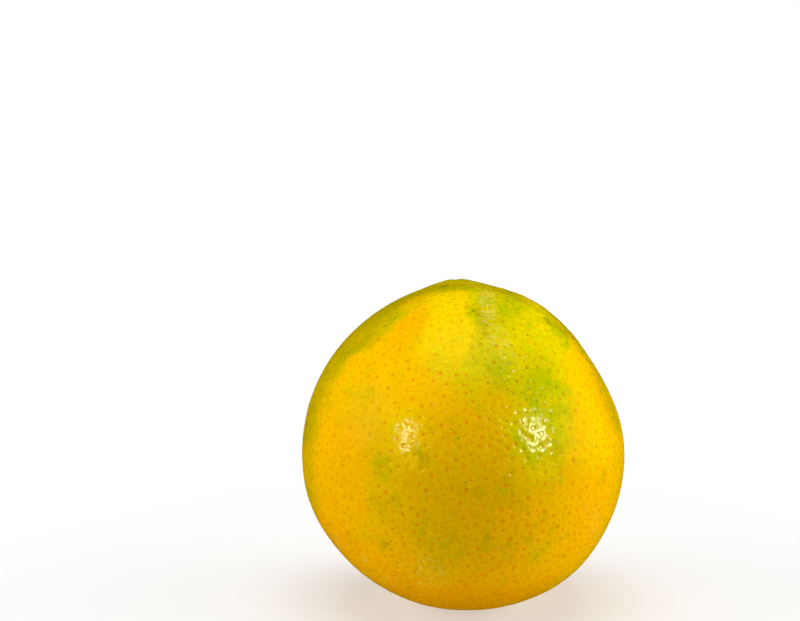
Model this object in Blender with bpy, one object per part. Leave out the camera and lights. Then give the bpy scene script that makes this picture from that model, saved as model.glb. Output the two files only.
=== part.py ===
"""A tangelo at rest: one whole fruit and the dried stem button on its neck.

Metres, +Z up. The origin is under the middle of the fruit, on the surface that it rests on. The stem end
leans back towards +Y. Run it with: blender --background --python part.py
"""

import math

import bmesh
import bpy
from mathutils import Vector

# The fruit as a whole
FRUIT_RADIUS = 0.0381  # a fruit 76 mm across
REST_DEPTH = 0.00065  # how much of the round form the flat resting spot takes away
REST_OFFSET = 0.0004  # the fruit's middle is this far to the right of the origin
FRUIT_CENTRE = Vector((REST_OFFSET, 0.0, FRUIT_RADIUS - REST_DEPTH))
STEM_AXIS = Vector((-0.051, 0.530, 0.847)).normalized()  # from the fruit's middle to its stem end

# The neck: a low cone with a rounded top, and a dish in it for the stem button
NECK_HEIGHT = 0.0056  # of the cone's point, above the round form
NECK_SPREAD = 15.4  # degrees from the stem axis at which the cone has dropped to a third
NECK_TAPER = 1.5  # a low power makes the cone's flanks hollow
NECK_TOP = 0.0041  # where the cone is rounded off
NECK_ROUNDING = 0.0005
DISH_RADIUS = 0.0043
DISH_DEPTH = 0.0010
DISH_FLATNESS = 8  # a high power makes the floor level and the wall steep

# Furrows that run down from the neck
FURROW_COUNT = 11
FURROW_DEPTH = 0.00050
FURROW_SHARPNESS = 2.5
FURROW_DEEPEST = 19.0  # degrees from the stem axis
FURROW_REACH = 9.0  # degrees either side of that
FURROW_TURN = 1.1  # radians, where the first one starts
FURROW_UNEVEN = 0.34  # radians by which their spacing wanders
FURROW_WANDER = ((1, 1.0, 0.9), (2, 0.6, 2.3), (3, 0.4, 0.0))  # its waves: how many round, share and start
FURROW_VARIES = 0.25  # share of the depth by which they differ
FURROW_VARIES_WAVES = 4
FURROW_VARIES_START = 0.5

# The blossom end, opposite the stem
SCAR_SPREAD = 7.0  # degrees
SCAR_DEPTH = 0.0007

# Broad swells and flats that keep the fruit from being a ball:
# the direction from its middle, the spread in degrees, and the height, which is negative for a flat
SWELLS = (
    ((0.84, 0.11, 0.53), 15.0, -0.0018),  # flattened shoulder
    ((0.98, 0.04, 0.19), 23.0, -0.0005),  # flatter flank below it
    ((0.64, -0.16, -0.75), 14.0, 0.0007),  # fuller low on that side
    ((-0.77, 0.10, 0.63), 24.0, -0.0003),  # flatter shoulder on the other side
    ((-0.94, -0.07, -0.33), 11.0, 0.0005),  # fuller below it
    ((-0.42, -0.19, -0.89), 26.0, -0.0002),
    ((-0.55, 0.80, 0.05), 24.0, -0.0006),  # flats and swells round the back
    ((0.45, 0.87, -0.20), 20.0, 0.0005),
    ((0.30, -0.20, 0.93), 16.0, 0.0002),
)

# Mesh fineness
SPHERE_SUBDIVISIONS = 5
FINER_PLACES = (  # faces this many degrees or less from these directions are split into four, in this order
    (STEM_AXIS, 36.0),
    (STEM_AXIS, 15.0),
    (Vector((0.0, 0.0, -1.0)), 17.0),
)
CUT_TOLERANCE = 0.00005  # mesh points this near the resting plane are taken to lie on it
SHARP_ANGLE = 50.0  # degrees between faces, past which their edge is shaded sharp

# The stem button
BUTTON_RADIUS = 0.0028
BUTTON_RISE = 0.0007  # height of the calyx disc
BUTTON_GAP = 0.0003  # clear of the dish below it
LOBES = 5
LOBE_DEPTH = 0.09  # share of the radius
STUB_SHARE = 0.44  # stalk stub's radius, as a share of the button's
STUB_EDGE = 0.12
STUB_RISE = 0.0008
STUB_HOLLOW = 0.0003
BUTTON_SEGMENTS = 40
BUTTON_RINGS = 24

PEEL_COLOUR = (0.66, 0.44, 0.01, 1.0)
PEEL_ROUGHNESS = 0.36
CALYX_COLOUR = (0.17, 0.15, 0.07, 1.0)
CALYX_ROUGHNESS = 0.85


def clear_scene():
    for old in list(bpy.data.objects):
        bpy.data.objects.remove(old, do_unlink=True)


def smooth_step(value, start, end):
    share = min(1.0, max(0.0, (value - start) / (end - start)))
    return share * share * (3.0 - 2.0 * share)


def bell(angle, spread):
    return math.exp(-0.5 * (angle / spread) ** 2)


def rounded_minimum(value, limit, rounding):
    """The smaller of the two, with the corner between them rounded."""
    gap = value - limit
    return limit + 0.5 * (gap - math.sqrt(gap * gap + rounding * rounding))


def axis_frame():
    """Two directions across the stem axis: the first towards the front, the second to its side."""
    front = Vector((0.0, -1.0, 0.0))
    front = (front - front.dot(STEM_AXIS) * STEM_AXIS).normalized()
    return front, STEM_AXIS.cross(front)


def degrees_between(direction, other):
    return math.degrees(direction.angle(other))


def furrows(polar, around):
    """Depth of the furrows at polar degrees from the stem axis and around radians about it."""
    wander = sum(share * math.sin(waves * around + start) for waves, share, start in FURROW_WANDER)
    phase = FURROW_COUNT * (around + FURROW_TURN) + FURROW_UNEVEN * wander
    valley = (0.5 + 0.5 * math.cos(phase)) ** FURROW_SHARPNESS
    uneven = 1.0 - FURROW_VARIES + FURROW_VARIES * math.sin(FURROW_VARIES_WAVES * around + FURROW_VARIES_START)
    return FURROW_DEPTH * uneven * valley * bell(polar - FURROW_DEEPEST, FURROW_REACH)


def fruit_radius(direction):
    """Distance from the fruit's middle to its skin, in this direction."""
    front, side = axis_frame()
    polar = degrees_between(direction, STEM_AXIS)
    around = math.atan2(direction.dot(side), direction.dot(front))
    cone = NECK_HEIGHT * math.exp(-((polar / NECK_SPREAD) ** NECK_TAPER))
    neck = rounded_minimum(cone, NECK_TOP, NECK_ROUNDING)
    off_axis = FRUIT_RADIUS * math.sin(min(math.radians(polar), 0.5 * math.pi))
    dish = DISH_DEPTH * math.exp(-((off_axis / DISH_RADIUS) ** DISH_FLATNESS))
    scar = SCAR_DEPTH * bell(180.0 - polar, SCAR_SPREAD)
    radius = FRUIT_RADIUS + neck - dish - scar - furrows(polar, around)
    for towards, spread, height in SWELLS:
        radius += height * bell(degrees_between(direction, Vector(towards)), spread)
    return radius


def material(name, colour, roughness):
    made = bpy.data.materials.new(name)
    made.use_nodes = True
    shader = made.node_tree.nodes["Principled BSDF"]
    shader.inputs["Base Color"].default_value = colour
    shader.inputs["Roughness"].default_value = roughness
    shader.inputs["Metallic"].default_value = 0.0
    made.diffuse_color = colour
    return made


def object_from(shape, name, skin, collection):
    mesh = bpy.data.meshes.new(name)
    bmesh.ops.recalc_face_normals(shape, faces=shape.faces[:])
    shape.to_mesh(mesh)
    shape.free()
    mesh.materials.append(skin)
    mesh.shade_smooth()
    mesh.set_sharp_from_angle(angle=math.radians(SHARP_ANGLE))
    made = bpy.data.objects.new(name, mesh)
    collection.objects.link(made)
    return made


def split_faces_near(shape, place, within):
    """Splits the faces less than this many degrees from a direction into four."""
    near = [edge for edge in shape.edges
            if all(degrees_between(end.co, place) < within for end in edge.verts)]
    bmesh.ops.subdivide_edges(shape, edges=near, cuts=1, use_grid_fill=True)
    bmesh.ops.triangulate(shape, faces=[face for face in shape.faces if len(face.verts) > 3])


def cut_rest_spot(shape):
    """Cuts the fruit off level at the surface that it rests on, and closes it with one flat face."""
    everything = shape.verts[:] + shape.edges[:] + shape.faces[:]
    cut = bmesh.ops.bisect_plane(
        shape, geom=everything, dist=CUT_TOLERANCE, plane_co=(0.0, 0.0, 0.0), plane_no=(0.0, 0.0, -1.0),
        clear_outer=True,
    )
    rim = [item for item in cut["geom_cut"] if isinstance(item, bmesh.types.BMEdge)]
    for edge in rim:
        for end in edge.verts:
            end.co.z = 0.0
    bmesh.ops.contextual_create(shape, geom=rim)


def make_fruit(collection):
    shape = bmesh.new()
    bmesh.ops.create_icosphere(shape, subdivisions=SPHERE_SUBDIVISIONS, radius=1.0)
    for place, within in FINER_PLACES:
        split_faces_near(shape, place, within)
    for vertex in shape.verts:
        direction = vertex.co.normalized()
        vertex.co = FRUIT_CENTRE + direction * fruit_radius(direction)
    cut_rest_spot(shape)
    return object_from(shape, "fruit", material("peel", PEEL_COLOUR, PEEL_ROUGHNESS), collection)


def button_height(share):
    """Height of the stem button's top above its flat underside, at this share of its radius."""
    disc = BUTTON_RISE * math.sqrt(max(0.0, 1.0 - share * share))
    stub = STUB_RISE * (1.0 - smooth_step(share, STUB_SHARE - STUB_EDGE, STUB_SHARE))
    hollow = STUB_HOLLOW * (1.0 - smooth_step(share, 0.0, STUB_SHARE - STUB_EDGE))
    return disc + stub - hollow


def make_stem_button(collection):
    """A UV sphere whose lower half is pressed flat and whose upper half is drawn into the lobed disc and stub."""
    front, side = axis_frame()
    foot = FRUIT_CENTRE + STEM_AXIS * (fruit_radius(STEM_AXIS) + BUTTON_GAP)
    shape = bmesh.new()
    bmesh.ops.create_uvsphere(shape, u_segments=BUTTON_SEGMENTS, v_segments=BUTTON_RINGS, radius=1.0)
    for vertex in shape.verts:
        spot = vertex.co.copy()
        share = math.acos(min(1.0, abs(spot.z))) / (0.5 * math.pi)
        around = math.atan2(spot.y, spot.x)
        rim = BUTTON_RADIUS * (1.0 + LOBE_DEPTH * math.cos(LOBES * around) * share * share)
        height = button_height(share) if spot.z > 0.0 else 0.0
        across = front * math.cos(around) + side * math.sin(around)
        vertex.co = foot + across * (rim * share) + STEM_AXIS * height
    return object_from(shape, "stem_button", material("calyx", CALYX_COLOUR, CALYX_ROUGHNESS), collection)


def main():
    clear_scene()
    collection = bpy.data.collections.new("tangelo")
    bpy.context.scene.collection.children.link(collection)
    make_fruit(collection)
    make_stem_button(collection)


main()
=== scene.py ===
import math

import bmesh
import bpy
import numpy as np
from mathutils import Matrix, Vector, noise


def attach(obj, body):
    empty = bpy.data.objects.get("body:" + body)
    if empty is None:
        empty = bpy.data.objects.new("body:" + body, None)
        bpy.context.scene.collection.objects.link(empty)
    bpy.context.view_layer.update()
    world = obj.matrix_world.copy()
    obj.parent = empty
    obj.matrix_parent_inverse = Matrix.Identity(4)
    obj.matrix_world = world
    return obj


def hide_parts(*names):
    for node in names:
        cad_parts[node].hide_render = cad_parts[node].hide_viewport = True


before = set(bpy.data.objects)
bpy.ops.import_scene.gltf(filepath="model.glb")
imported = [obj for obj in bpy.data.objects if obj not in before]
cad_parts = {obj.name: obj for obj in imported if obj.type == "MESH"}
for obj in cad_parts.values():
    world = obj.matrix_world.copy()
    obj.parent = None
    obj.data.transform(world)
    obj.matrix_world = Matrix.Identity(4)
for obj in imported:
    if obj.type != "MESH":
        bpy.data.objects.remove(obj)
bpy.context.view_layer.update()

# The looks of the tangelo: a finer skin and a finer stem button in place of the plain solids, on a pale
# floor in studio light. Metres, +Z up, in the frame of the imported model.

MM = 0.001


def unit(vector):
    return np.asarray(vector, float) / np.linalg.norm(vector)


def smooth_step(value, start, end):
    share = np.clip((value - start) / (end - start), 0.0, 1.0)
    return share * share * (3.0 - 2.0 * share)


def bell(distance, spread):
    return np.exp(-0.5 * (distance / spread) ** 2)


def degrees_between(directions, other):
    return np.degrees(np.arccos(np.clip(directions @ unit(other), -1.0, 1.0)))


def rounded_minimum(value, limit, rounding):
    """The smaller of the two, with the corner between them rounded."""
    gap = value - limit
    return limit + 0.5 * (gap - np.sqrt(gap * gap + rounding * rounding))


# Form of the fruit, with the same named values as in part.py
FRUIT_RADIUS = 0.0381  # a fruit 76 mm across
REST_DEPTH = 0.00065  # how much of the round form the flat resting spot takes away
REST_OFFSET = 0.0004  # the fruit's middle is this far to the right of the origin
FRUIT_CENTRE = np.array((REST_OFFSET, 0.0, FRUIT_RADIUS - REST_DEPTH))
STEM_AXIS = unit((-0.051, 0.530, 0.847))  # from the fruit's middle to its stem end
NECK_HEIGHT = 0.0056  # of the cone's point, above the round form
NECK_SPREAD = 15.4  # degrees from the stem axis at which the cone has dropped to a third
NECK_TAPER = 1.5  # a low power makes the cone's flanks hollow
NECK_TOP = 0.0041  # where the cone is rounded off
NECK_ROUNDING = 0.0005
DISH_RADIUS = 0.0043
DISH_DEPTH = 0.0010
DISH_FLATNESS = 8  # a high power makes the floor level and the wall steep
FURROW_COUNT = 11
FURROW_DEPTH = 0.00050
FURROW_SHARPNESS = 2.5
FURROW_DEEPEST = 19.0  # degrees from the stem axis
FURROW_REACH = 9.0  # degrees either side of that
FURROW_TURN = 1.1  # radians, where the first one starts
FURROW_UNEVEN = 0.34  # radians by which their spacing wanders
FURROW_WANDER = ((1, 1.0, 0.9), (2, 0.6, 2.3), (3, 0.4, 0.0))  # its waves: how many round, share and start
FURROW_VARIES = 0.25  # share of the depth by which they differ
FURROW_VARIES_WAVES = 4
FURROW_VARIES_START = 0.5
SCAR_SPREAD = 7.0  # degrees
SCAR_DEPTH = 0.0007
SWELLS = (  # the direction from the fruit's middle, the spread in degrees, and the height
    ((0.84, 0.11, 0.53), 15.0, -0.0018),  # flattened shoulder
    ((0.98, 0.04, 0.19), 23.0, -0.0005),  # flatter flank below it
    ((0.64, -0.16, -0.75), 14.0, 0.0007),  # fuller low on that side
    ((-0.77, 0.10, 0.63), 24.0, -0.0003),  # flatter shoulder on the other side
    ((-0.94, -0.07, -0.33), 11.0, 0.0005),  # fuller below it
    ((-0.42, -0.19, -0.89), 26.0, -0.0002),
    ((-0.55, 0.80, 0.05), 24.0, -0.0006),  # flats and swells round the back
    ((0.45, 0.87, -0.20), 20.0, 0.0005),
    ((0.30, -0.20, 0.93), 16.0, 0.0002),
)

# Two directions across the stem axis: towards the front, and to its side
STEM_FRONT = unit(np.array((0.0, -1.0, 0.0)) + STEM_AXIS[1] * STEM_AXIS)
STEM_SIDE = np.cross(STEM_AXIS, STEM_FRONT)


def furrows(polar, turn):
    """Depth of the furrows at polar degrees from the stem axis and turn radians about it."""
    wander = sum(share * np.sin(waves * turn + start) for waves, share, start in FURROW_WANDER)
    phase = FURROW_COUNT * (turn + FURROW_TURN) + FURROW_UNEVEN * wander
    valley = (0.5 + 0.5 * np.cos(phase)) ** FURROW_SHARPNESS
    uneven = 1.0 - FURROW_VARIES + FURROW_VARIES * np.sin(FURROW_VARIES_WAVES * turn + FURROW_VARIES_START)
    return FURROW_DEPTH * uneven * valley * bell(polar - FURROW_DEEPEST, FURROW_REACH)


def fruit_radius(directions):
    """Distance from the fruit's middle to its skin, for an array of directions."""
    polar = degrees_between(directions, STEM_AXIS)
    turn = np.arctan2(directions @ STEM_SIDE, directions @ STEM_FRONT)
    cone = NECK_HEIGHT * np.exp(-((polar / NECK_SPREAD) ** NECK_TAPER))
    neck = rounded_minimum(cone, NECK_TOP, NECK_ROUNDING)
    off_axis = FRUIT_RADIUS * np.sin(np.minimum(np.radians(polar), 0.5 * math.pi))
    dish = DISH_DEPTH * np.exp(-((off_axis / DISH_RADIUS) ** DISH_FLATNESS))
    scar = SCAR_DEPTH * bell(180.0 - polar, SCAR_SPREAD)
    radius = FRUIT_RADIUS + neck - dish - scar - furrows(polar, turn)
    for towards, spread, height in SWELLS:
        radius = radius + height * bell(degrees_between(directions, towards), spread)
    return radius


# The camera, from the photograph's framing
IMAGE_WIDTH, IMAGE_HEIGHT = 800, 621
FRUIT_PIXEL = (465.0, 446.8)  # where the fruit's middle lies in the image
PIXELS_RIGHT = FRUIT_PIXEL[0] - IMAGE_WIDTH / 2  # and how far that is from the image's own middle
PIXELS_DOWN = FRUIT_PIXEL[1] - IMAGE_HEIGHT / 2
SENSOR_WIDTH = 36.0
LENS = 72.0
FOCAL_PIXELS = LENS / SENSOR_WIDTH * IMAGE_WIDTH
SIGHT_DOWN = math.radians(12.0)  # how far the line of sight to the fruit's middle dips
SIGHT_DISTANCE = 0.3792
SIGHT = np.array((0.0, math.cos(SIGHT_DOWN), -math.sin(SIGHT_DOWN)))
CAMERA_PLACE = FRUIT_CENTRE - SIGHT_DISTANCE * SIGHT
CAMERA_YAW = math.atan(PIXELS_RIGHT / FOCAL_PIXELS)
CAMERA_PITCH = SIGHT_DOWN - math.atan(PIXELS_DOWN / FOCAL_PIXELS * math.cos(CAMERA_YAW))
CAMERA_AXIS = np.array((
    -math.sin(CAMERA_YAW) * math.cos(CAMERA_PITCH),
    math.cos(CAMERA_YAW) * math.cos(CAMERA_PITCH),
    -math.sin(CAMERA_PITCH),
))
CAMERA_RIGHT = unit(np.cross(CAMERA_AXIS, (0.0, 0.0, 1.0)))
CAMERA_UP = np.cross(CAMERA_RIGHT, CAMERA_AXIS)
CLIP_START, CLIP_END = 0.01, 20.0


def seen(*pixels):
    """Directions from the fruit's middle to the places that the photograph shows at these pixels, with the
    fruit taken for a ball."""
    directions = []
    to_centre = FRUIT_CENTRE - CAMERA_PLACE
    for across, down in pixels:
        ray = unit(
            CAMERA_AXIS * FOCAL_PIXELS
            + CAMERA_RIGHT * (across - IMAGE_WIDTH / 2)
            - CAMERA_UP * (down - IMAGE_HEIGHT / 2)
        )
        along = ray @ to_centre
        miss = to_centre @ to_centre - along * along
        reach = math.sqrt(max(0.0, FRUIT_RADIUS ** 2 - miss))
        directions.append(unit(CAMERA_PLACE + ray * (along - reach) - FRUIT_CENTRE))
    return np.array(directions)


def spot(across, down):
    """The direction to the one place at this pixel."""
    return seen((across, down))[0]


def around(*angles):
    """Directions by azimuth and elevation in degrees: azimuth 0 is the photograph's side, 90 its right."""
    azimuth, elevation = np.radians(np.array(angles, float)).T
    level = np.cos(elevation)
    return np.stack((np.sin(azimuth) * level, -np.cos(azimuth) * level, np.sin(elevation)), axis=1)


# Mesh of the skin
SPHERE_SUBDIVISIONS = 5
SKIN_CUTS = 5  # each edge of the sphere is cut this many times
REST_ROUNDING = 0.2 * MM  # softens the edge of the flat resting spot


def sphere_mesh():
    """A finely split sphere: its mesh points as directions, and its triangles."""
    shape = bmesh.new()
    bmesh.ops.create_icosphere(shape, subdivisions=SPHERE_SUBDIVISIONS, radius=1.0)
    bmesh.ops.subdivide_edges(shape, edges=shape.edges[:], cuts=SKIN_CUTS, use_grid_fill=True)
    bmesh.ops.triangulate(shape, faces=[face for face in shape.faces if len(face.verts) > 3])
    shape.verts.index_update()
    points = np.array([vertex.co for vertex in shape.verts])
    triangles = np.array([[vertex.index for vertex in face.verts] for face in shape.faces])
    shape.free()
    return points / np.linalg.norm(points, axis=1, keepdims=True), triangles


def neighbour_lists(triangles, count):
    """For each mesh point, the points that an edge joins it to."""
    lists = [set() for _ in range(count)]
    for a, b, c in triangles.tolist():
        lists[a].update((b, c))
        lists[b].update((a, c))
        lists[c].update((a, b))
    return lists


def points_within(start, steps, neighbours):
    """The mesh points that this many steps over edges reach from a point."""
    found, edge = {start}, {start}
    for _ in range(steps):
        edge = {other for point in edge for other in neighbours[point]} - found
        found |= edge
    return found


# Soft unevenness between the glands: the size of its waves and their height
RIPPLES = ((4.0 * MM, 0.04 * MM), (1.8 * MM, 0.018 * MM))
COARSE_SKIN = spot(532, 312)  # the skin is coarser round this place near the neck
COARSE_SPREAD = 14.0  # degrees
COARSER = 10.0  # how many times higher the waves are there

# Small bumps and hollows near the top of the fruit: where they are, their spread and their height
KNOBS = (
    (spot(500, 289), 1.4 * MM, 0.2 * MM),
    (spot(507, 292), 0.8 * MM, -0.2 * MM),
    (spot(514, 294), 1.3 * MM, 0.3 * MM),
    (spot(551, 323), 1.2 * MM, -0.25 * MM),
    (spot(538, 306), 1.6 * MM, 0.2 * MM),
    (spot(447, 281), 1.4 * MM, 0.15 * MM),
    (spot(470, 283), 1.2 * MM, -0.15 * MM),
)

# The small dent inside the right highlight
DENT_ENDS = seen((521, 433), (534, 442))
DENT_HALF_WIDTH = 0.5 * MM
DENT_DEPTH = 0.13 * MM
DENT_EVENNESS = 4  # a high power keeps it evenly deep to near its ends


def ripples(directions):
    total = np.zeros(len(directions))
    for size, height in RIPPLES:
        places = directions * (FRUIT_RADIUS / size)
        total += height * np.array([noise.noise(Vector(place)) for place in places])
    return total * (1.0 + (COARSER - 1.0) * bell(degrees_between(directions, COARSE_SKIN), COARSE_SPREAD))


def knobs(directions):
    total = np.zeros(len(directions))
    for place, spread, height in KNOBS:
        total += height * bell(np.radians(degrees_between(directions, place)) * FRUIT_RADIUS, spread)
    return total


def dent(directions):
    middle = unit(DENT_ENDS.sum(axis=0))
    along = unit(DENT_ENDS[1] - DENT_ENDS[0])
    across = np.cross(middle, along)
    half_length = 0.5 * FRUIT_RADIUS * np.linalg.norm(DENT_ENDS[1] - DENT_ENDS[0])
    x, y = directions @ along * FRUIT_RADIUS, directions @ across * FRUIT_RADIUS
    inside = np.exp(-((x / half_length) ** DENT_EVENNESS) - (y / DENT_HALF_WIDTH) ** 2)
    return np.where(directions @ middle > 0.0, DENT_DEPTH * inside, 0.0)


# Oil glands. Rings are the steps over the mesh that a gland's mark takes up, which no other gland shares.
# Count is the most that are placed at random, radius is in millimetres, and depth and tint are shares.
GLAND_SEED = 11
LARGE_GLANDS = {"rings": 2, "count": 2400, "radius": (0.52, 0.76), "depth": (0.35, 1.2), "tint": (0.4, 1.0)}
SMALL_GLANDS = {"rings": 1, "count": 3400, "radius": (0.3, 0.42), "depth": (0.1, 0.6), "tint": (0.35, 1.0)}
DEEP_GLANDS = {"rings": 2, "radius": (0.52, 0.64), "depth": (1.2, 1.6), "tint": (0.3, 0.7)}
GLAND_ROOM = 0.92  # the largest radius, as a share of the way to the outermost ring
GLAND_REACH = 3  # steps over the mesh that a gland's dimple reaches
DIMPLE_DEPTH = 0.11 * MM
DIMPLE_SPREAD = 0.55 * MM

# The deep glands round the highlights, whose rims glint, and large ones where the photograph shows them
GLINTING_GLANDS = seen(
    (389, 461), (408, 465), (385, 423), (381, 454), (420, 418), (379, 410), (396, 459), (416, 456),
    (426, 446), (499, 442), (514, 424), (518, 413), (526, 400), (551, 397), (543, 389), (549, 413),
    (551, 430), (556, 443), (545, 473), (528, 459), (513, 460), (524, 450), (538, 456), (508, 448),
    (536, 402), (505, 456), (532, 470),
)
CHOSEN_GLANDS = seen(
    (408, 422), (412, 435), (397, 438), (401, 428), (387, 427), (372, 426), (390, 441), (404, 447),
    (534, 428), (541, 446), (528, 421), (522, 412), (545, 418), (518, 428), (551, 432), (530, 450),
    (443, 425), (436, 434), (455, 434), (465, 437), (464, 411), (466, 422), (443, 397), (427, 396),
    (447, 385), (428, 371), (479, 418), (488, 431), (476, 424), (502, 420), (508, 417), (482, 438),
    (464, 466), (460, 448), (472, 468), (467, 490), (480, 447), (493, 462), (497, 470), (510, 473),
    (404, 515), (437, 514), (451, 511), (383, 521), (405, 484), (413, 488), (396, 469), (430, 449),
    (456, 452), (448, 469), (457, 490), (443, 483), (503, 521), (514, 528), (491, 538), (516, 544),
    (478, 548), (466, 546), (452, 543), (433, 544), (404, 544), (387, 543), (470, 511), (512, 507),
)


def place_glands(directions, neighbours, random):
    """The glands as (mesh point, kind) pairs: the chosen ones, then large ones, then small ones between."""
    glands = []
    taken = np.zeros(len(neighbours), bool)

    def keep(point, kind):
        glands.append((point, kind))
        taken[list(points_within(point, kind["rings"], neighbours))] = True

    def is_free(point, kind):
        return not taken[list(points_within(point, kind["rings"], neighbours))].any()

    for middles, kind in ((GLINTING_GLANDS, DEEP_GLANDS), (CHOSEN_GLANDS, LARGE_GLANDS)):
        for middle in middles:
            point = int(np.argmax(directions @ middle))
            if is_free(point, kind):
                keep(point, kind)
    for kind in (LARGE_GLANDS, SMALL_GLANDS):
        wanted = len(glands) + kind["count"]
        for point in random.permutation(len(neighbours)).tolist():
            if len(glands) < wanted and not taken[point] and is_free(point, kind):
                keep(point, kind)
    return glands


def add_glands(points, directions, neighbours, random):
    """Presses the dimples into the skin, and returns what the material needs to know about the glands.

    The first array holds, over a gland's rings, the way from the gland's middle as a share of its radius,
    and 1 inside its outermost ring. The second and third hold its depth and its tint as shares.
    """
    places = np.zeros((len(points), 4), np.float32)
    depths, tints = np.zeros(len(points), np.float32), np.zeros(len(points), np.float32)
    sink = np.zeros(len(points))
    for point, kind in place_glands(directions, neighbours, random):
        inner = sorted(points_within(point, kind["rings"] - 1, neighbours))
        area = sorted(points_within(point, kind["rings"], neighbours))
        outer = [other for other in area if other not in inner]
        room = GLAND_ROOM * np.linalg.norm(points[outer] - points[point], axis=1).min()
        radius = min(room, random.uniform(*kind["radius"]) * MM)
        shallowest, deepest = kind["depth"]
        depth = shallowest + random.random() * (deepest - shallowest)
        places[area, :3] = (points[area] - points[point]) / radius
        places[inner, 3] = 1.0
        depths[area] = depth
        tints[area] = random.uniform(*kind["tint"])
        near = list(points_within(point, GLAND_REACH, neighbours))
        apart = np.linalg.norm(points[near] - points[point], axis=1)
        sink[near] += DIMPLE_DEPTH * depth * np.exp(-((apart / DIMPLE_SPREAD) ** 2))
    points -= directions * sink[:, None]
    return places, depths, tints


# Dark specks: the ones that the photograph shows, and how many are drawn all round to fill the back
LARGE_SPECK_RADIUS = 0.36 * MM
LARGE_SPECKS = seen(
    (446.0, 285.8), (453.5, 291.0), (507.3, 300.8), (473.4, 311.0),
    (527.8, 334.7), (547.5, 321.5), (441.5, 288.0),
)
SPECK_RADIUS = (0.14 * MM, 0.25 * MM)
SMALL_SPECKS = seen(
    (466.8, 393.5), (552.8, 350.8), (507.4, 420.9), (320.2, 419.6), (451.4, 528.5), (582.8, 446.1),
    (583.9, 510.1), (607.3, 406.2), (320.0, 389.4), (366.5, 500.1), (375.3, 508.1), (335.4, 535.5),
    (326.8, 395.0), (451.1, 428.9), (458.2, 438.2), (466.1, 482.4), (552.8, 516.0), (514.9, 574.4),
    (512.5, 569.6), (381.5, 472.0), (526.5, 368.0), (348.5, 533.0), (387.0, 588.0), (387.5, 544.0),
    (604.0, 474.0), (384.0, 547.0), (391.0, 541.5), (392.0, 549.0), (380.5, 477.0), (385.0, 474.0),
    (353.0, 540.0), (357.0, 535.5), (466.0, 284.5), (551.0, 325.0), (498.0, 292.0),
)
SPECKS_DRAWN = 55

# Small pale marks: their radius and where they are. Low on the fruit they are pale wax; near the neck and
# above the right highlight they are painted glints of the lights
PALE_FLECKS_AND_PAINTED_GLINTS = (
    (0.34 * MM, seen((513.6, 371.0), (420.5, 568.0), (423.0, 561.0), (441.5, 572.5))),
    (0.26 * MM, seen(
        (486.0, 290.5), (484.5, 297.5), (480.0, 302.5), (487.0, 307.5), (492.0, 308.5), (488.0, 312.5),
        (486.5, 322.0), (416.5, 573.0), (437.5, 579.0), (418.5, 584.0), (429.5, 583.5))),
    (0.18 * MM, seen(
        (477.0, 293.0), (493.5, 311.5), (483.0, 312.0), (481.0, 307.0), (497.3, 329.5), (476.5, 345.5),
        (480.5, 345.0), (494.5, 343.5), (505.0, 357.5), (501.5, 371.5), (509.5, 376.0), (488.5, 316.5),
        (536.5, 551.5), (498.5, 548.0), (411.0, 572.5), (426.0, 571.5), (446.0, 584.0), (410.0, 577.0),
        (424.0, 590.0), (437.0, 562.0), (403.5, 563.0), (505.0, 379.0), (520.0, 368.0), (523.0, 358.0),
        (527.5, 356.0), (517.0, 363.5), (508.0, 363.0), (531.0, 380.6), (542.0, 388.0), (551.0, 396.4),
        (538.0, 392.4), (491.4, 381.4), (471.4, 357.0), (552.6, 335.6), (501.0, 368.0))),
)


def add_marks(points, directions, neighbours, marks):
    """What the material needs to know about small round marks, given as (direction, radius) pairs, in the
    same form as for the glands. A mark that would share a mesh point with one before it is left out."""
    places = np.zeros((len(points), 4), np.float32)
    taken = set()
    for middle, radius in marks:
        point = int(np.argmax(directions @ middle))
        area = [point, *sorted(neighbours[point])]
        if taken.intersection(area):
            continue
        taken.update(area)
        exact = points[point] + (middle - directions[point]) * FRUIT_RADIUS
        places[area, :3] = (points[area] - exact) / radius
        places[point, 3] = 1.0
    return places


def speck_marks(random):
    """The dark specks in view, and others round the back."""
    others = random.normal(size=(SPECKS_DRAWN, 3))
    others = others[others[:, 1] > 0.0]
    middles = np.concatenate((SMALL_SPECKS, others / np.linalg.norm(others, axis=1, keepdims=True)))
    large = [(middle, LARGE_SPECK_RADIUS) for middle in LARGE_SPECKS]
    return large + [(middle, random.uniform(*SPECK_RADIUS)) for middle in middles]


def fleck_and_glint_marks():
    return [(middle, radius) for radius, middles in PALE_FLECKS_AND_PAINTED_GLINTS for middle in middles]


# Colours of the skin, as linear albedo
GOLD = (0.88, 0.50, 0.0)
GOLDEN = (0.98, 0.55, 0.0)
OLIVE_GOLD = (0.81, 0.49, 0.0)
YELLOW = (0.95, 0.66, 0.0)
AMBER = (0.93, 0.47, 0.0)
ORANGE = (0.92, 0.41, 0.0)
LIME = (0.63, 0.54, 0.0)
LIME_YELLOW = (0.76, 0.62, 0.0)
OLIVE = (0.52, 0.37, 0.0)
GREEN = (0.40, 0.36, 0.0)
DARK_GREEN = (0.20, 0.20, 0.0)

# A yellow patch and a lime one meet along an edge that runs down from the neck. This is the side left of it.
LEFT_OF_SEAM = seen(
    (460, 278), (463, 291), (466, 304), (472, 318), (474, 334), (470, 346), (464, 360), (462, 385),
    (400, 400), (350, 380), (360, 320), (420, 285),
)
SEAM_SOFTNESS = 2.6

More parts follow.
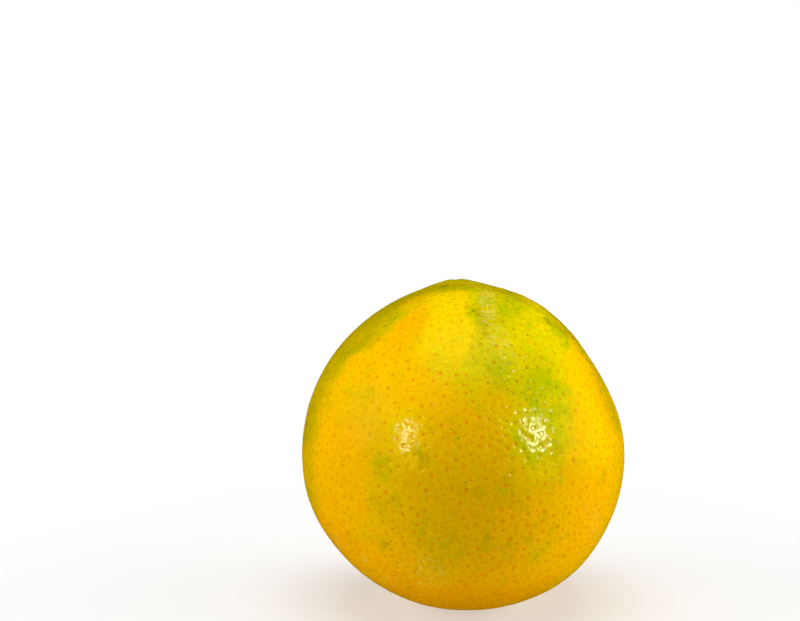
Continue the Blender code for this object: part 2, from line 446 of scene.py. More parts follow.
# Patches over the golden skin, in the order that they are laid: the colour, over how many millimetres it
# fades, its share, and its outline. First come the middle and the green side.
FIRST_PATCHES = (
    (OLIVE_GOLD, 9.0, 0.7, seen(  # the broad middle
        (378, 440), (420, 455), (520, 455), (550, 500), (520, 560), (420, 560), (372, 500))),
    (AMBER, 5.0, 0.8, seen(  # left of it
        (322, 425), (350, 420), (371, 455), (367, 500), (352, 545), (325, 515), (312, 470))),
    (GOLDEN, 8.0, 1.0, seen(  # above it
        (380, 340), (430, 335), (474, 362), (466, 405), (430, 415), (390, 410), (376, 385))),
    (YELLOW, 5.0, 0.5, seen((388, 412), (418, 408), (426, 440), (412, 462), (390, 452))),
    (LIME_YELLOW, 6.0, 0.9, seen(  # the green side as a whole
        (430, 280), (492, 282), (522, 300), (560, 345), (566, 380), (572, 440),
        (560, 475), (530, 480), (505, 432), (480, 400), (430, 370))),
    (LIME, 11.0, 0.95, seen(  # its greener core
        (478, 278), (500, 282), (518, 296), (524, 322), (552, 350), (560, 385), (564, 430),
        (556, 450), (538, 450), (524, 430), (505, 402), (486, 380), (482, 330))),
    (OLIVE_GOLD, 6.0, 0.8, seen((480, 380), (502, 380), (515, 410), (500, 425), (482, 410))),
    (OLIVE_GOLD, 5.0, 0.4, seen((542, 445), (562, 445), (562, 476), (542, 478))),
    (LIME_YELLOW, 5.0, 0.9, seen(  # paler along its upper edge
        (515, 298), (530, 302), (550, 312), (572, 345), (562, 365), (530, 345), (514, 322))),
    (LIME_YELLOW, 5.0, 0.8, seen((484, 328), (530, 328), (548, 352), (520, 366), (488, 360))),
    (GREEN, 4.0, 0.45, seen((543, 310), (554, 308), (574, 340), (563, 348))),
    (OLIVE, 5.0, 0.7, seen((556, 304), (570, 318), (588, 346), (582, 352), (566, 330))),
    (GREEN, 2.5, 0.5, seen((509, 291), (520, 295), (522, 301), (512, 299))),
    (LIME, 4.0, 0.5, seen((508, 290), (530, 297), (528, 308), (510, 305))),
    (OLIVE, 4.0, 0.55, seen((474, 306), (482, 306), (490, 322), (492, 338), (480, 334))),
    (DARK_GREEN, 1.4, 0.45, seen((545, 318), (550, 319), (556, 325), (553, 327), (548, 323))),
    (OLIVE, 2.0, 0.35, seen((483, 328), (490, 327), (493, 337), (485, 339))),
)
LEFT_PATCHES = (  # these stop at the seam
    (YELLOW, 9.0, 1.0, seen(
        (420, 320), (440, 290), (500, 284), (500, 352), (470, 368), (430, 368), (412, 348))),
)
LATER_PATCHES = (
    (AMBER, 6.0, 0.85, seen((378, 338), (397, 314), (424, 304), (422, 330), (410, 354), (388, 352))),
    (YELLOW, 9.0, 0.5, seen(  # right of the green side
        (562, 350), (584, 352), (602, 395), (610, 440), (608, 470), (592, 470), (578, 450), (578, 420),
        (568, 385))),
    (AMBER, 6.0, 0.8, seen(
        (572, 335), (584, 350), (612, 395), (618, 440), (608, 430), (596, 395), (578, 360))),
    (AMBER, 6.0, 0.9, seen((575, 480), (610, 470), (605, 525), (575, 562), (555, 560), (570, 520))),
    (LIME, 4.5, 0.3, seen((348, 385), (372, 386), (376, 398), (350, 404))),
    # Partly the skin's own olive and partly painted shade along the upper left edge
    (OLIVE, 5.0, 0.95, seen(  # the upper left edge
        (340, 345), (370, 315), (398, 296), (425, 285), (450, 278), (468, 278), (467, 284), (440, 288),
        (412, 298), (392, 322), (368, 344), (335, 368))),
    (LIME, 4.0, 0.5, seen((372, 330), (392, 312), (420, 298), (424, 304), (398, 322), (380, 340))),
    (LIME, 3.0, 0.6, seen((430, 288), (450, 280), (480, 279), (472, 291), (450, 293))),
    # Partly the skin's own olive and partly painted shade along the left edge
    (OLIVE, 8.0, 0.85, seen(  # the left edge
        (302, 440), (304, 410), (316, 375), (338, 342), (344, 352), (328, 384), (318, 412), (312, 440))),
    # These five olive bands along the top and upper left are partly the skin's own olive and partly painted
    # shade
    (OLIVE, 4.0, 0.4, seen((494, 279), (520, 286), (550, 306), (540, 313), (512, 299), (492, 291))),
    (OLIVE, 3.0, 0.5, seen((426, 284), (442, 279), (466, 277), (460, 285), (440, 292))),
    (OLIVE, 4.0, 0.4, seen(  # along the top
        (412, 294), (440, 283), (470, 281), (500, 284), (518, 292), (510, 300), (480, 291), (450, 291),
        (420, 302))),
    (OLIVE, 4.0, 0.4, seen((372, 326), (392, 304), (406, 299), (402, 313), (386, 328))),
    (OLIVE, 5.0, 0.35, seen((318, 405), (324, 372), (340, 350), (349, 356), (338, 378), (330, 405))),
    (DARK_GREEN, 1.2, 0.6, seen((441, 284), (448, 282), (450, 287), (443, 288))),
    (AMBER, 6.0, 0.4, seen((455, 500), (485, 498), (490, 520), (460, 522))),
    (OLIVE, 5.0, 0.35, seen(  # the left edge again, lower
        (302, 400), (314, 392), (318, 420), (316, 490), (322, 520), (312, 515), (304, 470))),
    (OLIVE, 4.0, 0.65, seen(  # the right edge
        (566, 318), (590, 345), (612, 390), (622, 425), (614, 428), (604, 396), (582, 352), (562, 326))),
    (LIME, 7.0, 0.28, seen((368, 460), (392, 452), (400, 474), (388, 492), (368, 488))),
    (LIME, 4.0, 0.25, seen((418, 448), (432, 448), (436, 462), (422, 466))),
    (ORANGE, 6.0, 0.75, seen(  # the lower left
        (315, 505), (345, 530), (385, 562), (420, 580), (420, 605), (365, 580), (325, 545))),
    (ORANGE, 6.0, 0.85, seen(  # the lower edge
        (400, 585), (470, 578), (530, 582), (560, 570), (540, 600), (470, 612), (400, 606))),
    (AMBER, 6.0, 0.7, seen((492, 506), (528, 498), (552, 508), (548, 535), (515, 548), (492, 532))),
    (AMBER, 6.0, 0.6, seen((470, 556), (520, 552), (555, 570), (520, 590), (470, 588))),
    (AMBER, 6.0, 0.5, seen((340, 545), (372, 535), (415, 560), (400, 585), (365, 575))),
    (LIME, 4.5, 0.3, seen((530, 545), (548, 545), (545, 562), (528, 560))),
    (LIME, 5.0, 0.2, seen((440, 520), (460, 545), (450, 565), (424, 545), (424, 525))),
    (OLIVE, 2.6, 0.22, seen((377, 540), (386, 538), (392, 548), (380, 552))),  # from here, small smudges
    (OLIVE, 2.2, 0.4, seen((478, 546), (482, 533), (490, 527), (488, 540), (482, 547))),
    (OLIVE, 2.2, 0.35, seen((532, 524), (546, 512), (550, 516), (537, 529))),
    (OLIVE, 2.0, 0.3, seen((522, 544), (532, 535), (535, 539), (525, 548))),
    (OLIVE, 2.0, 0.3, seen((548, 530), (556, 522), (558, 527), (551, 535))),
    (OLIVE, 2.4, 0.4, seen((553, 450), (566, 450), (566, 460), (553, 460))),
    (OLIVE, 2.4, 0.35, seen((416, 452), (428, 452), (428, 462), (416, 462))),
    (OLIVE, 2.0, 0.25, seen((600, 468), (607, 468), (607, 486), (600, 486))),
    (OLIVE, 2.0, 0.2, seen((500, 357), (545, 355), (545, 362), (502, 364))),
    (OLIVE, 2.0, 0.2, seen((520, 592), (560, 575), (562, 580), (524, 598))),
)
HIDDEN_PATCHES = (  # out of the photograph's view, after what is round them
    (LIME, 13.0, 0.9, around((100, 50), (140, 30), (180, 22), (220, 26), (262, 48), (240, 75), (120, 75))),
    (LIME, 12.0, 0.85, around((205, 30), (232, 25), (236, -5), (222, -22), (210, -5))),
    (YELLOW, 14.0, 0.65, around((100, 28), (128, 24), (140, 2), (128, -16), (104, -10))),
    (LIME_YELLOW, 12.0, 0.8, around((148, 18), (196, 14), (190, -10), (156, -14))),
    (YELLOW, 14.0, 0.6, around((245, 30), (275, 28), (278, 0), (250, -8))),
    (AMBER, 14.0, 0.9, around(
        (95, -18), (150, -22), (205, -26), (262, -14), (290, -30), (260, -55), (100, -55))),
    (OLIVE, 12.0, 0.5, around((262, 40), (292, 45), (290, 30), (268, 24))),
)
WARPS = ((7.0 * MM, 1.5 * MM), (2.6 * MM, 0.8 * MM), (1.1 * MM, 0.4 * MM))  # waves in edges, and their reach
WARP_SEED = 11  # with none set, Blender seeds its vector noise by the clock, and the edges differ each run

# The blossom scar's faint stain
SCAR_STAIN = (0.24, 0.13, 0.01)
SCAR_STAIN_RADIUS = 1.1 * MM
SCAR_STAIN_CORE = 0.4  # share of the radius inside which it is full
SCAR_STAIN_SHARE = 0.15

# How strongly the glands are tinted where it isn't as elsewhere: over how many millimetres that sets in, the
# tint, and the outline
GLAND_TINT_ELSEWHERE = 0.75
GLAND_TINTS = (
    (6.0, 1.0, seen(
        (372, 445), (430, 385), (500, 400), (540, 470), (560, 520), (520, 575), (410, 575), (370, 510))),
    (5.0, 0.95, seen((370, 350), (440, 350), (480, 365), (480, 400), (430, 410), (365, 405))),
    (3.0, 0.65, seen(
        (425, 318), (440, 298), (468, 296), (467, 350), (462, 368), (425, 368), (414, 345))),
    (3.0, 0.7, seen(
        (469, 280), (492, 286), (530, 310), (560, 370), (573, 425), (548, 476), (516, 440), (482, 385))),
)

# Scuffs, where the skin is pale and flaky with wax, and near the neck a painted sheen of the light above:
# over how many millimetres they set in, how strong they are, and their outline
SCUFFS_AND_PAINTED_SHEEN = (
    (1.5, 1.0, seen((414, 560), (432, 556), (446, 568), (444, 588), (420, 588))),
    (0.8, 1.4, seen((333, 535), (338, 533), (344, 548), (339, 550))),
    (0.7, 1.2, seen((360, 556), (367, 556), (367, 562), (361, 562))),
    (1.2, 0.45, seen((366, 568), (400, 578), (398, 586), (364, 576))),
    # These two near the neck are pale skin with a painted sheen of the light above
    (2.0, 1.0, seen((479, 292), (493, 292), (496, 318), (490, 326), (480, 322))),
    (2.5, 0.6, seen((482, 326), (500, 324), (512, 345), (516, 364), (504, 366), (488, 345))),
    (1.5, 0.35, seen((583, 505), (600, 505), (604, 545), (588, 545))),
    (2.0, 0.9, around((190, -40), (215, -35), (210, -52), (192, -55))),
    (1.5, 0.6, around((130, 5), (140, 8), (146, -6), (134, -8))),
)

MAP_UP = (0.3, 0.2, 0.93)  # upwards on the flat maps of the outlines: none of them lies this way
NO_DISTANCE = 1e-9  # keeps the middle of a map from a division by nothing


def warped(directions):
    """The directions moved about a little by noise, so that no edge of a patch is an even curve."""
    noise.seed_set(WARP_SEED)
    moved = directions.copy()
    for size, reach in WARPS:
        places = directions * (FRUIT_RADIUS / size)
        moved += reach / FRUIT_RADIUS * np.array([noise.noise_vector(Vector(place)) for place in places])
    return moved / np.linalg.norm(moved, axis=1, keepdims=True)


def flattened(directions, middle, right):
    """Coordinates in millimetres on a flat map whose middle is this direction."""
    up = np.cross(right, middle)
    angle = np.arccos(np.clip(directions @ middle, -1.0, 1.0))
    x, y = directions @ right, directions @ up
    stretch = angle / np.maximum(np.hypot(x, y), NO_DISTANCE) * FRUIT_RADIUS / MM
    return np.stack((x * stretch, y * stretch), axis=1)


def share_inside(directions, outline, softness):
    """From 0 outside an outline to 1 inside it, over this many millimetres."""
    middle = unit(outline.sum(axis=0))
    right = unit(np.cross(middle, MAP_UP))
    places, corners = flattened(directions, middle, right), flattened(outline, middle, right)
    nearest = np.full(len(places), np.inf)
    inside = np.zeros(len(places), bool)
    for start, end in zip(corners, np.roll(corners, -1, axis=0)):
        edge = end - start
        share = np.clip((places - start) @ edge / (edge @ edge), 0.0, 1.0)
        nearest = np.minimum(nearest, np.linalg.norm(places - start - share[:, None] * edge, axis=1))
        crosses = (start[1] > places[:, 1]) != (end[1] > places[:, 1])
        with np.errstate(divide="ignore", invalid="ignore"):
            left = places[:, 0] < start[0] + (places[:, 1] - start[1]) * edge[0] / edge[1]
        inside ^= crosses & left
    return smooth_step(np.where(inside, nearest, -nearest), -0.5 * softness, 0.5 * softness)


def paint(directions):
    """The skin's colour at each mesh point, and how strongly its glands are tinted there."""
    places = warped(directions)
    fields = np.ones((len(directions), 4)) * (*GOLD, GLAND_TINT_ELSEWHERE)
    left = share_inside(places, LEFT_OF_SEAM, SEAM_SOFTNESS)
    layers = ((FIRST_PATCHES, 1.0), (LEFT_PATCHES, left), (LATER_PATCHES, 1.0), (HIDDEN_PATCHES, 1.0))
    for patches, side in layers:
        for colour, softness, amount, outline in patches:
            share = side * amount * share_inside(places, outline, softness)
            fields[:, :3] += share[:, None] * (np.array(colour) - fields[:, :3])
    for softness, tint, outline in GLAND_TINTS:
        fields[:, 3] += share_inside(places, outline, softness) * (tint - fields[:, 3])
    off_scar = np.radians(degrees_between(places, -STEM_AXIS)) * FRUIT_RADIUS
    clear = smooth_step(off_scar, SCAR_STAIN_CORE * SCAR_STAIN_RADIUS, SCAR_STAIN_RADIUS)
    fields[:, :3] += (SCAR_STAIN_SHARE * (1.0 - clear))[:, None] * (np.array(SCAR_STAIN) - fields[:, :3])
    return fields


def scuff_and_sheen_share(directions):
    total = np.zeros(len(directions))
    for softness, amount, outline in SCUFFS_AND_PAINTED_SHEEN:
        total = np.maximum(total, amount * share_inside(directions, outline, softness))
    return total


# Building materials
OFF_MARK = 0.001  # outside the marks, the alpha of their attribute is no more than this


def add_node(tree, kind, settings=None, **inputs):
    """A node of this kind, with its properties from settings. An input is set or linked by its name, or by
    its number after an underscore."""
    node = tree.nodes.new(kind)
    for name, value in (settings or {}).items():
        setattr(node, name, value)
    for name, value in inputs.items():
        socket = node.inputs[int(name[1:])] if name[0] == "_" else node.inputs[name]
        if isinstance(value, bpy.types.NodeSocket):
            tree.links.new(value, socket)
        else:
            socket.default_value = value
    return node


def attribute(tree, name):
    """The outputs of a node that reads what the mesh holds by this name."""
    return add_node(tree, "ShaderNodeAttribute", {"attribute_name": name}).outputs


def object_place(tree):
    return add_node(tree, "ShaderNodeTexCoord").outputs["Object"]


def length_of(tree, vector):
    return add_node(tree, "ShaderNodeVectorMath", {"operation": "LENGTH"}, _0=vector).outputs["Value"]


def combine(tree, operation, first, second):
    return add_node(tree, "ShaderNodeMath", {"operation": operation}, _0=first, _1=second).outputs[0]


def mix_colour(tree, factor, first, second, blend="MIX"):
    settings = {"data_type": "RGBA", "blend_type": blend}
    return add_node(tree, "ShaderNodeMix", settings, _0=factor, _6=first, _7=second).outputs[2]


def ramp(tree, value, start, end, low=0.0, high=1.0):
    """From low to high, smoothly, as the value goes from start to end."""
    settings = {"interpolation_type": "SMOOTHSTEP"}
    made = add_node(tree, "ShaderNodeMapRange", settings, _0=value, _1=start, _2=end, _3=low, _4=high)
    return made.outputs[0]


def noise_field(tree, place, size, detail, roughness):
    """Noise with features about this many metres across, from 0 to 1."""
    inputs = {"Vector": place, "Scale": 1.0 / size, "Detail": detail, "Roughness": roughness}
    return add_node(tree, "ShaderNodeTexNoise", **inputs).outputs["Fac"]


def pattern(tree, place, kind):
    """Noise drawn out by a ramp, from a pair of the two's values."""
    field_values, ramp_values = kind
    return ramp(tree, noise_field(tree, place, *field_values), *ramp_values)


def disc_share(tree, name, inner, outer):
    """How much the small round marks of this name show: from 1 inside the inner share of their radius to 0
    outside the outer one."""
    marks = attribute(tree, name)
    on_mark = combine(tree, "GREATER_THAN", marks["Alpha"], OFF_MARK)
    return combine(tree, "MULTIPLY", ramp(tree, length_of(tree, marks["Color"]), outer, inner), on_mark)


def new_material(name):
    made = bpy.data.materials.new(name)
    made.use_nodes = True
    return made, made.node_tree, made.node_tree.nodes["Principled BSDF"]


# Material of the peel. A pattern holds the noise's size, detail and roughness, and the values of its ramp.
GREENER_TONE, REDDER_TONE = (0.80, 0.94, 1.0, 1.0), (1.0, 0.88, 1.0, 1.0)  # these drift over the skin
CLOUDS = ((5.0 * MM, 4.0, 0.6), (0.45, 0.7))
MOTTLING = ((1.6 * MM, 3.0, 0.6), (0.5, 0.8))
BLUSH = ((2.3 * MM, 3.0, 0.65), (0.5, 0.75))
UNEVENNESS = (0.95, 0.6, 0.4, 2.2)  # ramp over how red the skin is: the greener, the more uneven
DARK_GRAIN, PALE_GRAIN = (0.95, 0.86, 1.0, 1.0), (1.04, 1.13, 1.0, 1.0)
GRAIN_TONE = ((0.5 * MM, 2.0, 0.7), (0.25, 0.75))

GLAND_ON_GREEN, GLAND_ON_GOLD = (0.44, 0.21, 0.0, 1.0), (0.84, 0.24, 0.0, 1.0)
GREEN_TO_GOLD = (0.62, 0.84)  # how red the skin is where it counts as green and as gold
GLAND_DOT = (0.1, 0.95)  # inner and outer share of the radius, as for the marks below
GLAND_PIT = (0.55, 1.0)
SPECK = (0.4, 1.0)
SPECK_COLOUR = (0.04, 0.035, 0.0, 1.0)
SPECK_STRENGTH = 0.9
# The small pale marks: wax low on the fruit, and painted glints near the neck and above the right highlight
FLECK_AND_GLINT_DISC = (0.3, 1.0)
FLECK_AND_GLINT_COLOUR = (0.88, 0.80, 0.42, 1.0)
FLECK_AND_GLINT_STRENGTH = 0.9

# Colour of the scuffs, which near the neck is a painted sheen on pale skin
WAX_AND_SHEEN_COLOUR = (0.82, 0.69, 0.26, 1.0)
WAX_AND_SHEEN_FILM = ((1.5 * MM, 2.0, 0.6), (0.42, 0.62, 0.0, 0.08))
WAX_AND_SHEEN_FLAKES = ((0.75 * MM, 2.0, 0.7), (0.56, 0.66, 0.0, 0.5))

PIT_DEPTH = 0.05 * MM
GRAIN_FIELD, GRAIN_RELIEF = (0.4 * MM, 1.0, 0.6), 0.02 * MM
WAVY_FIELD, WAVY_RELIEF = (1.2 * MM, 2.0, 0.5), 0.03 * MM

POLISH = ((0.6 * MM, 3.0, 0.85), (0.56, 0.46))  # where the skin shines through its dull bloom
BLOOM_ROUGHNESS, POLISHED_ROUGHNESS = 0.2, 0.07
BLOOM_SPECULAR, POLISHED_SPECULAR = 0.04, 0.7
WAX_ROUGHNESS = 0.3  # on top of either
PEEL_IOR = 1.45


def skin_tones(tree, place, painted, red):
    """The painted colour with drifts of other tones and a fine grain."""
    unevenness = ramp(tree, red, *UNEVENNESS)
    skin = painted
    for kind in (CLOUDS, MOTTLING):
        share = combine(tree, "MULTIPLY", pattern(tree, place, kind), unevenness)
        skin = mix_colour(tree, share, skin, GREENER_TONE, "MULTIPLY")
    skin = mix_colour(tree, pattern(tree, place, BLUSH), skin, REDDER_TONE, "MULTIPLY")
    grain = mix_colour(tree, pattern(tree, place, GRAIN_TONE), DARK_GRAIN, PALE_GRAIN)
    return mix_colour(tree, 1.0, skin, grain, "MULTIPLY")


def with_dots(tree, skin, red, strength):
    """The skin with the dots of its glands and its dark specks."""
    own_tint = attribute(tree, "gland_tint")["Fac"]
    dot = combine(tree, "MULTIPLY", disc_share(tree, "gland", *GLAND_DOT), own_tint)
    gland = mix_colour(tree, ramp(tree, red, *GREEN_TO_GOLD), GLAND_ON_GREEN, GLAND_ON_GOLD)
    skin = mix_colour(tree, combine(tree, "MULTIPLY", dot, strength), skin, gland)
    speck = combine(tree, "MULTIPLY", disc_share(tree, "speck", *SPECK), SPECK_STRENGTH)
    return mix_colour(tree, speck, skin, SPECK_COLOUR)


def with_wax_sheen_and_glints(tree, place, skin):
    """The skin with its scuffs, its marks of pale wax and the painted sheen and glints near the neck and
    above the right highlight, and how much of these it has.
    """
    film = combine(tree, "ADD", pattern(tree, place, WAX_AND_SHEEN_FILM), pattern(tree, place, WAX_AND_SHEEN_FLAKES))
    # The wax share holds the scuffs, and near the neck the painted sheen
    scuff_and_sheen = combine(tree, "MULTIPLY", film, attribute(tree, "wax")["Fac"])
    fleck_and_glint = combine(tree, "MULTIPLY", disc_share(tree, "fleck", *FLECK_AND_GLINT_DISC), FLECK_AND_GLINT_STRENGTH)
    skin = mix_colour(tree, scuff_and_sheen, skin, WAX_AND_SHEEN_COLOUR)
    skin = mix_colour(tree, fleck_and_glint, skin, FLECK_AND_GLINT_COLOUR)
    return skin, combine(tree, "MAXIMUM", scuff_and_sheen, fleck_and_glint)


def skin_relief(tree, place, pit):
    """Normals for the gland's own pits and the finest unevenness, with heights in metres."""
    height = combine(tree, "MULTIPLY", pit, -PIT_DEPTH)
    for field, relief in ((GRAIN_FIELD, GRAIN_RELIEF), (WAVY_FIELD, WAVY_RELIEF)):
        raised = combine(tree, "MULTIPLY", noise_field(tree, place, *field), relief)
        height = combine(tree, "ADD", height, raised)
    return add_node(tree, "ShaderNodeBump", Height=height, Distance=1.0, Strength=1.0).outputs["Normal"]


def peel_material():
    made, tree, shader = new_material("peel_skin")
    place = object_place(tree)
    painted = attribute(tree, "paint")
    red = add_node(tree, "ShaderNodeSeparateColor", Color=painted["Color"]).outputs["Red"]
    skin = skin_tones(tree, place, painted["Color"], red)
    skin = with_dots(tree, skin, red, painted["Alpha"])
    skin, wax_and_glint_share = with_wax_sheen_and_glints(tree, place, skin)
    tree.links.new(skin, shader.inputs["Base Color"])

    depth = attribute(tree, "gland_depth")["Fac"]
    pit = combine(tree, "MULTIPLY", disc_share(tree, "gland", *GLAND_PIT), depth)
    tree.links.new(skin_relief(tree, place, pit), shader.inputs["Normal"])

    polished = combine(tree, "MAXIMUM", pattern(tree, place, POLISH), pit)  # the pits are free of bloom
    rough = ramp(tree, polished, 0.0, 1.0, BLOOM_ROUGHNESS, POLISHED_ROUGHNESS)
    rough = combine(tree, "ADD", rough, combine(tree, "MULTIPLY", wax_and_glint_share, WAX_ROUGHNESS))
    tree.links.new(rough, shader.inputs["Roughness"])
    specular = ramp(tree, polished, 0.0, 1.0, BLOOM_SPECULAR, POLISHED_SPECULAR)
    tree.links.new(specular, shader.inputs["Specular IOR Level"])
    shader.inputs["IOR"].default_value = PEEL_IOR
    return made


# Material of the stem button
CALYX_DARK, CALYX_GREEN = (0.11, 0.085, 0.01, 1.0), (0.26, 0.24, 0.04, 1.0)
WOOD_DARK, WOOD_PALE = (0.30, 0.25, 0.09, 1.0), (0.62, 0.56, 0.30, 1.0)
CALYX_ROUGHNESS = 0.85
PATCHY_FIELD, PATCHY_RAMP = (0.9 * MM, 5.0, 0.65), (0.3, 0.7)
FIBRE_FIELD, FIBRE_RAMP = (0.3 * MM, 3.0, 0.7), (0.5, 0.75, 0.0, 0.4)
FIBRE_HEIGHT = 0.4  # share of the patches' own height
CALYX_RELIEF = 0.15 * MM


def calyx_material():
    made, tree, shader = new_material("dry_calyx")
    place = object_place(tree)
    patchy = noise_field(tree, place, *PATCHY_FIELD)
    fibres = noise_field(tree, place, *FIBRE_FIELD)
    tone = ramp(tree, patchy, *PATCHY_RAMP)
    calyx = mix_colour(tree, tone, CALYX_DARK, CALYX_GREEN)
    wood = mix_colour(tree, tone, WOOD_DARK, WOOD_PALE)
    skin = mix_colour(tree, attribute(tree, "stub")["Fac"], calyx, wood)
    skin = mix_colour(tree, ramp(tree, fibres, *FIBRE_RAMP), skin, WOOD_PALE)
    tree.links.new(skin, shader.inputs["Base Color"])
    shader.inputs["Roughness"].default_value = CALYX_ROUGHNESS
    height = combine(tree, "ADD", patchy, combine(tree, "MULTIPLY", fibres, FIBRE_HEIGHT))
    bump = add_node(tree, "ShaderNodeBump", Height=height, Distance=CALYX_RELIEF, Strength=1.0)
    tree.links.new(bump.outputs["Normal"], shader.inputs["Normal"])
    return made


# Pieces

def object_from(name, points, triangles, material):
    mesh = bpy.data.meshes.new(name)
    mesh.from_pydata(points.tolist(), [], triangles.tolist())
    mesh.materials.append(material)
    mesh.shade_smooth()
    made = bpy.data.objects.new(name, mesh)
    bpy.context.scene.collection.objects.link(made)
    return made


def add_attribute(mesh, name, values):
    """Keeps one number, or four as a colour, for each mesh point."""
    kind, field = ("FLOAT_COLOR", "color") if values.ndim == 2 else ("FLOAT", "value")
    held = mesh.attributes.new(name, kind, "POINT")
    held.data.foreach_set(field, np.ascontiguousarray(values, np.float32).ravel())


def make_skin():
    random = np.random.default_rng(GLAND_SEED)
    directions, triangles = sphere_mesh()
    neighbours = neighbour_lists(triangles, len(directions))
    reach = fruit_radius(directions) + ripples(directions) + knobs(directions) - dent(directions)
    points = FRUIT_CENTRE + directions * reach[:, None]
    gland_places, gland_depths, gland_tints = add_glands(points, directions, neighbours, random)
    specks = add_marks(points, directions, neighbours, speck_marks(random))
    flecks_and_glints = add_marks(points, directions, neighbours, fleck_and_glint_marks())
    height = points[:, 2]
    points[:, 2] = 0.5 * (height + np.sqrt(height * height + REST_ROUNDING ** 2))
    skin = object_from("peel", points, triangles, peel_material())
    add_attribute(skin.data, "paint", paint(directions))
    # wax: the scuffs, and near the neck the painted sheen
    add_attribute(skin.data, "wax", scuff_and_sheen_share(directions))
    # fleck: the pale wax marks, and the painted glints near the neck and above the right highlight
    add_attribute(skin.data, "fleck", flecks_and_glints)
    add_attribute(skin.data, "gland", gland_places)
    add_attribute(skin.data, "gland_depth", gland_depths)
    add_attribute(skin.data, "gland_tint", gland_tints)
    add_attribute(skin.data, "speck", specks)
    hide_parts("fruit")
    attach(skin, "root")


# The stem button, with the same named values as in part.py
BUTTON_RADIUS = 0.0028
BUTTON_RISE = 0.0007  # height of the calyx disc
BUTTON_GAP = 0.0003  # clear of the dish below it
LOBES = 5
LOBE_DEPTH = 0.09  # share of the radius
STUB_SHARE = 0.44  # stalk stub's radius, as a share of the button's
STUB_EDGE = 0.12
STUB_RISE = 0.0008
STUB_HOLLOW = 0.0003

# Its finer form
BUTTON_SEGMENTS = 180
BUTTON_RINGS = 96
WRINKLE_SIZE = 0.35 * MM
WRINKLE_HEIGHT = 0.09 * MM
WRINKLE_EVENNESS = 8  # a high power keeps the wrinkles up to near the rim


def stub_share(share):
    """1 on the stalk's stub and 0 outside it, at these shares of the button's radius."""
    return 1.0 - smooth_step(share, STUB_SHARE - STUB_EDGE, STUB_SHARE)


def button_height(share):
    """Height of the stem button's top above its flat underside, at these shares of its radius."""
    disc = BUTTON_RISE * np.sqrt(np.maximum(0.0, 1.0 - share * share))
    hollow = STUB_HOLLOW * (1.0 - smooth_step(share, 0.0, STUB_SHARE - STUB_EDGE))
    return disc + STUB_RISE * stub_share(share) - hollow


def make_stem_button():
    """The dried calyx disc and the stub of the stalk, with the wrinkles of dry wood."""
    foot = FRUIT_CENTRE + STEM_AXIS * (fruit_radius(STEM_AXIS[None])[0] + BUTTON_GAP)
    shape = bmesh.new()
    bmesh.ops.create_uvsphere(shape, u_segments=BUTTON_SEGMENTS, v_segments=BUTTON_RINGS, radius=1.0)
    bmesh.ops.triangulate(shape, faces=shape.faces[:])
    shape.verts.index_update()
    spots = np.array([vertex.co for vertex in shape.verts])
    # Sorted, because the triangles come in another order each run
    triangles = np.array(sorted([vertex.index for vertex in face.verts] for face in shape.faces))
    shape.free()
    share = np.arccos(np.clip(np.abs(spots[:, 2]), 0.0, 1.0)) / (0.5 * math.pi)
    turn = np.arctan2(spots[:, 1], spots[:, 0])
    rim = BUTTON_RADIUS * (1.0 + LOBE_DEPTH * np.cos(LOBES * turn) * share * share)
    outwards = np.cos(turn)[:, None] * STEM_FRONT + np.sin(turn)[:, None] * STEM_SIDE
    points = foot + outwards * (rim * share)[:, None]
    upper = spots[:, 2] > 0.0
    wrinkles = WRINKLE_HEIGHT * np.array([noise.noise(Vector(point / WRINKLE_SIZE)) for point in points])
    sunk = np.minimum(wrinkles, 0.0) * (1.0 - share ** WRINKLE_EVENNESS)
    height = np.where(upper, button_height(share) + sunk, 0.0)
    points = points + STEM_AXIS * height[:, None]
    button = object_from("calyx_button", points, triangles, calyx_material())
    add_attribute(button.data, "stub", np.where(upper, stub_share(share), 0.0))
    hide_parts("stem_button")
    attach(button, "root")


# Stage, lights and camera
EVEN_WHITE = (1.0, 1.0, 1.0, 1.0)
FLOOR_RADIUS = 4.0
FLOOR_SEGMENTS = 96
FLOOR_FADE = (0.02, 0.16)  # from lit floor to even white, over these distances from the fruit
FLOOR_GLOW = 0.45  # share of even white under the fruit
FLOOR_BOUNCE = (0.89, 0.86, 0.12, 1.0)  # warm light from the floor keeps the skin's colour deep
FLOOR_ALBEDO = (0.9, 0.9, 0.9, 1.0)
FLOOR_ROUGHNESS = 0.9

# What is round the stage: even white where the camera looks, and dim where the light comes from
FILL = (0.02, 0.02, 0.0, 1.0)
MIRRORED = (0.22, 0.16, 0.0, 1.0)  # the warm tone that the rim of the fruit mirrors

LIGHT_DISTANCE = 0.9
WHITE, CREAM, STRAW = (1.0, 1.0, 1.0), (0.9, 0.98, 0.66), (1.0, 1.0, 0.1)
SOFTBOXES = (
    # name, azimuth, elevation, width and height, radiance, colour, and what it shines on
    ("gleam_left", -41, 15, (0.14, 0.27), 9.5, CREAM, "gloss"),
    ("gleam_right", 53, 17, (0.18, 0.3), 16.3, CREAM, "gloss"),
    ("gleam_above", 45, 76, (0.06, 0.40), 1.0, STRAW, "gloss"),
    ("side_left", -80, 20, (0.55, 0.55), 5.6, WHITE, "colour"),
    ("side_right", 90, 14, (0.55, 0.55), 7.6, WHITE, "colour"),
    ("overhead", 0, 82, (0.8, 0.8), 3.5, WHITE, "colour"),
)


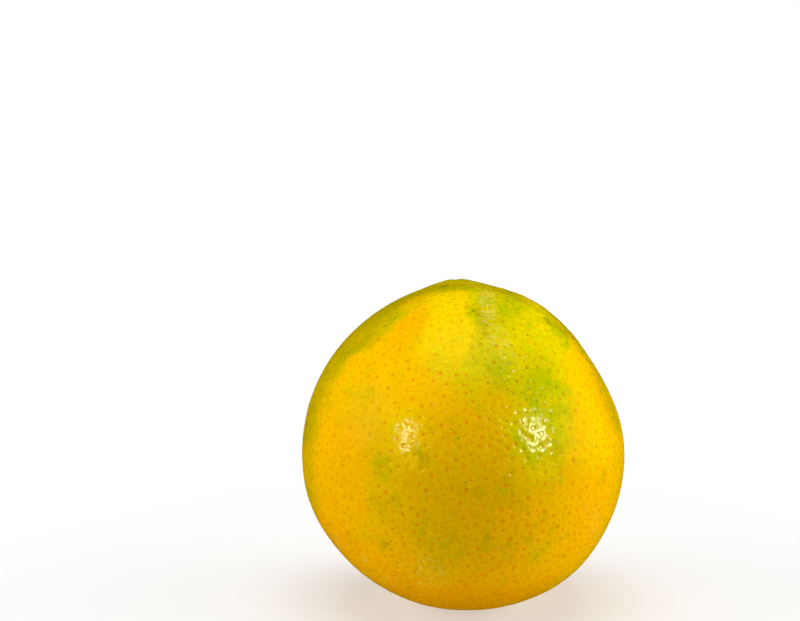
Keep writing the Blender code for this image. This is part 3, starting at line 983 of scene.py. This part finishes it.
def floor_material():
    """Lit floor round the fruit, which passes into even white further out."""
    made, tree, shader = new_material("pale_floor")
    rays = add_node(tree, "ShaderNodeLightPath")
    colour = mix_colour(tree, rays.outputs["Is Camera Ray"], FLOOR_BOUNCE, EVEN_WHITE)
    tree.links.new(mix_colour(tree, 1.0, colour, FLOOR_ALBEDO, "MULTIPLY"), shader.inputs["Base Color"])
    shader.inputs["Roughness"].default_value = FLOOR_ROUGHNESS
    away = length_of(tree, object_place(tree))
    glow = add_node(tree, "ShaderNodeEmission", Color=colour, Strength=1.0)
    blend = add_node(tree, "ShaderNodeMixShader", _0=ramp(tree, away, *FLOOR_FADE, FLOOR_GLOW, 1.0))
    tree.links.new(shader.outputs[0], blend.inputs[1])
    tree.links.new(glow.outputs[0], blend.inputs[2])
    tree.links.new(blend.outputs[0], tree.nodes["Material Output"].inputs["Surface"])
    return made


def make_floor():
    shape = bmesh.new()
    bmesh.ops.create_circle(shape, cap_ends=True, radius=FLOOR_RADIUS, segments=FLOOR_SEGMENTS)
    mesh = bpy.data.meshes.new("floor")
    shape.to_mesh(mesh)
    shape.free()
    mesh.materials.append(floor_material())
    floor = bpy.data.objects.new("floor", mesh)
    bpy.context.scene.collection.objects.link(floor)
    floor.visible_glossy = False


def add_softbox(name, azimuth, elevation, size, radiance, colour, shines_on):
    """A rectangular light that faces the fruit. Azimuth 0 is over the camera, and 90 is to its right."""
    light = bpy.data.lights.new(name, "AREA")
    light.shape = "RECTANGLE"
    light.size, light.size_y = size
    light.energy = radiance * math.pi * size[0] * size[1]
    light.color = colour
    lamp = bpy.data.objects.new(name, light)
    away = Vector(around((azimuth, elevation))[0])
    lamp.location = Vector(FRUIT_CENTRE) + away * LIGHT_DISTANCE
    lamp.rotation_mode = "QUATERNION"
    lamp.rotation_quaternion = away.to_track_quat("Z", "Y")
    lamp.visible_camera = False
    lamp.visible_diffuse = shines_on != "gloss"
    lamp.visible_glossy = shines_on != "colour"
    bpy.context.scene.collection.objects.link(lamp)


def light_stage():
    for box in SOFTBOXES:
        add_softbox(*box)
    world = bpy.data.worlds.new("studio")
    world.use_nodes = True
    tree = world.node_tree
    rays = add_node(tree, "ShaderNodeLightPath")
    colour = mix_colour(tree, rays.outputs["Is Glossy Ray"], FILL, MIRRORED)
    colour = mix_colour(tree, rays.outputs["Is Camera Ray"], colour, EVEN_WHITE)
    tree.links.new(colour, tree.nodes["Background"].inputs["Color"])
    bpy.context.scene.world = world
    bpy.context.scene.view_settings.view_transform = "Standard"


def place_camera():
    data = bpy.data.cameras.new("camera")
    data.sensor_width = SENSOR_WIDTH
    data.lens = LENS
    data.clip_start, data.clip_end = CLIP_START, CLIP_END
    camera = bpy.data.objects.new("camera", data)
    camera.location = Vector(CAMERA_PLACE)
    camera.rotation_mode = "QUATERNION"
    camera.rotation_quaternion = Vector(CAMERA_AXIS).to_track_quat("-Z", "Y")
    bpy.context.scene.collection.objects.link(camera)
    bpy.context.scene.camera = camera


make_skin()
make_stem_button()
make_floor()
light_stage()
place_camera()
